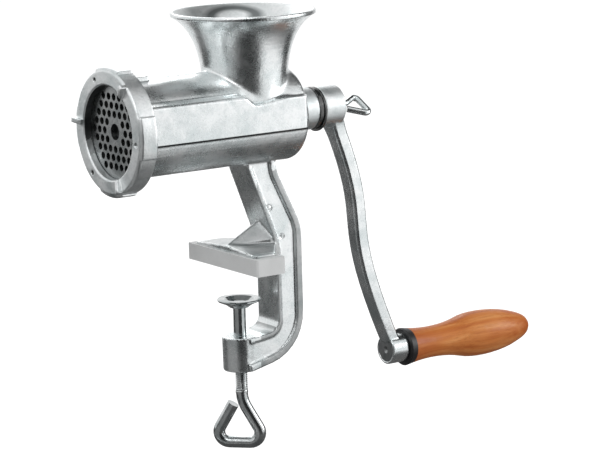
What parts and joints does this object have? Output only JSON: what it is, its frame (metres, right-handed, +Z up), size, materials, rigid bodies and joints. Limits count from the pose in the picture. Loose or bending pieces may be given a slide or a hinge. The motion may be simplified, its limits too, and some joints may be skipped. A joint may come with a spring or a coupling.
{
  "type": "hand crank meat grinder",
  "caption": "Hand crank meat grinder with a trumpet hopper, a ring nut over a perforated plate, a table clamp and a curved crank with a wooden grip.",
  "frame": {"origin": "on the clamp screw's axis, at the underside of the upper jaw's cover, where the top of the table touches", "axes": "+X runs along the barrel from the outlet to the crank, +Z is up along the clamp screw, +Y completes the right-handed frame"},
  "size_m": [0.3249, 0.0906, 0.2788],
  "materials": {
    "cast_aluminium": "cast and tumble-polished, satin with soft dark reflections",
    "cast_aluminium_bright": "polished casting, brighter than the body",
    "feed_casting": "cast, matt inside the barrel",
    "ring_casting": "turned and polished casting",
    "hardened_steel": "ground hardened steel",
    "plate_steel": "ground steel disc, dark against the ring",
    "zinc_steel": "zinc-plated bent rod",
    "chrome_steel": "plated pad and thumb screw",
    "pin_steel": "dark steel rivet",
    "black_plastic": "smooth black nylon",
    "grey_plastic": "light grey, soft cover",
    "fibre": "brown fibre thrust washer",
    "wood": "orange-brown clear-lacquered wood"
  },
  "bodies": {
    "housing": {"housing": "cast_aluminium", "jaw_cover": "grey_plastic", "plate_key": "pin_steel", "rear_bush": "black_plastic"},
    "feed": {"feed_screw": "feed_casting", "screw_stud": "hardened_steel", "knife": "hardened_steel", "thrust_washer": "fibre"},
    "crank": {"crank_washer": "black_plastic", "crank_arm": "cast_aluminium_bright", "grip_pin": "pin_steel", "pin_ring": "hardened_steel"},
    "thumb_screw": {"thumb_screw": "chrome_steel"},
    "grip": {"grip_collar": "black_plastic", "wooden_grip": "wood"},
    "plate": {"hole_plate": "plate_steel"},
    "ring_nut": {"ring_nut": "ring_casting"},
    "pad": {"clamp_pad": "chrome_steel"},
    "clamp_screw": {"clamp_screw": "zinc_steel"}
  },
  "joints": [
    {"name": "crank_spin", "type": "hinge", "parent": "housing", "child": "feed", "pos_m": [0.031, 0, 0.094], "axis": [1, 0, 0], "continuous": true},
    {"name": "crank_pull", "type": "slide", "parent": "feed", "child": "crank", "axis": [1, 0, 0], "range_m": [0, 0.012]},
    {"name": "thumb_screw_turn", "type": "hinge", "parent": "crank", "child": "thumb_screw", "pos_m": [0.078, 0, 0.094], "axis": [1, 0, 0], "range_deg": [0, 5410]},
    {"name": "grip_spin", "type": "hinge", "parent": "crank", "child": "grip", "pos_m": [0.131, 0, -0.072], "axis": [1, 0, 0], "continuous": true},
    {"name": "plate_lift", "type": "slide", "parent": "housing", "child": "plate", "axis": [-1, 0, 0], "range_m": [0, 0.0065]},
    {"name": "ring_nut_turn", "type": "hinge", "parent": "plate", "child": "ring_nut", "pos_m": [-0.085, 0, 0.094], "axis": [-1, 0, 0], "range_deg": [0, 790]},
    {"name": "clamp_travel", "type": "slide", "parent": "housing", "child": "pad", "axis": [0, 0, 1], "range_m": [-0.018, 0.0135]},
    {"name": "clamp_screw_turn", "type": "hinge", "parent": "pad", "child": "clamp_screw", "pos_m": [0, 0, -0.0268], "axis": [0, 0, 1], "range_deg": [-5190, 3890]}
  ],
  "couplings": [
    {"joint": "thumb_screw_turn", "follows": "crank_pull", "rad_per_m": 7854},
    {"joint": "ring_nut_turn", "follows": "plate_lift", "rad_per_m": 2094.4},
    {"joint": "clamp_screw_turn", "follows": "clamp_travel", "rad_per_m": 5026.5}
  ]
}
